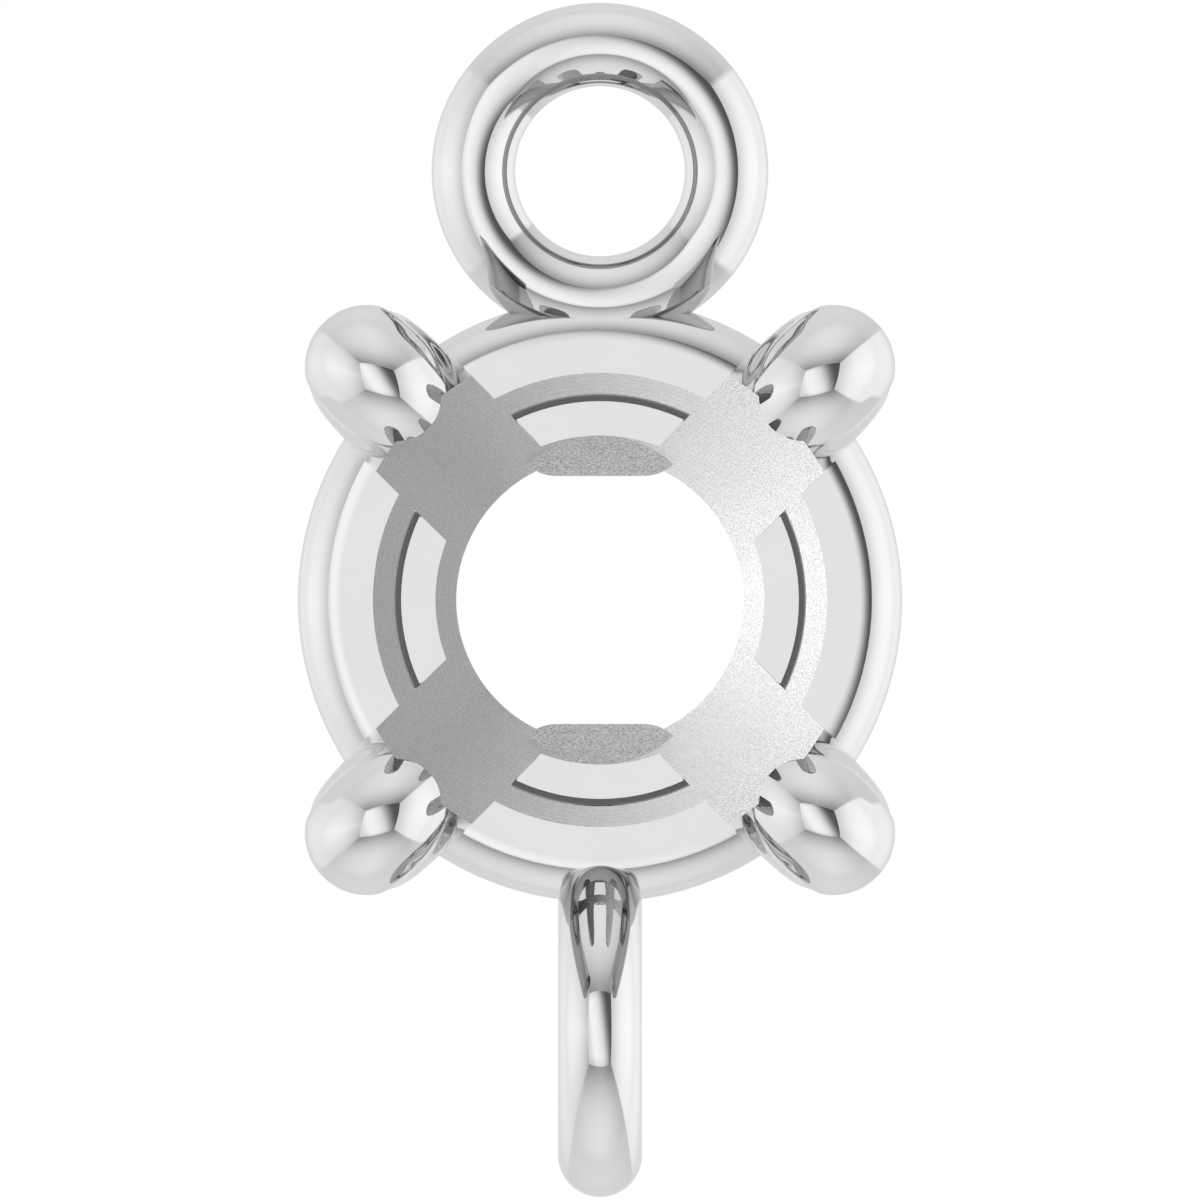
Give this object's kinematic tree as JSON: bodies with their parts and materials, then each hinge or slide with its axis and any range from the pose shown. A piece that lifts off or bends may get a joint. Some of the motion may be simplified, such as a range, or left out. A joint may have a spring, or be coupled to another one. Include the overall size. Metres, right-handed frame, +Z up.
{
  "type": "four-prong link setting",
  "caption": "Round basket setting on two galleries with four domed prongs, a flat jump ring at one side and an upright one opposite.",
  "frame": {"origin": "on the axis of the stone seat, at the underside of the lower gallery", "axes": "+Z up along the seat's axis, towards the prong tips; +Y towards the flat jump ring; the upright jump ring is at -Y"},
  "size_m": [0.0036, 0.0072, 0.0045],
  "materials": {
    "white_metal": "bright polish, with a fine turned texture in the seat bore"
  },
  "bodies": {
    "root": {"link_setting": "white_metal"}
  },
  "joints": []
}
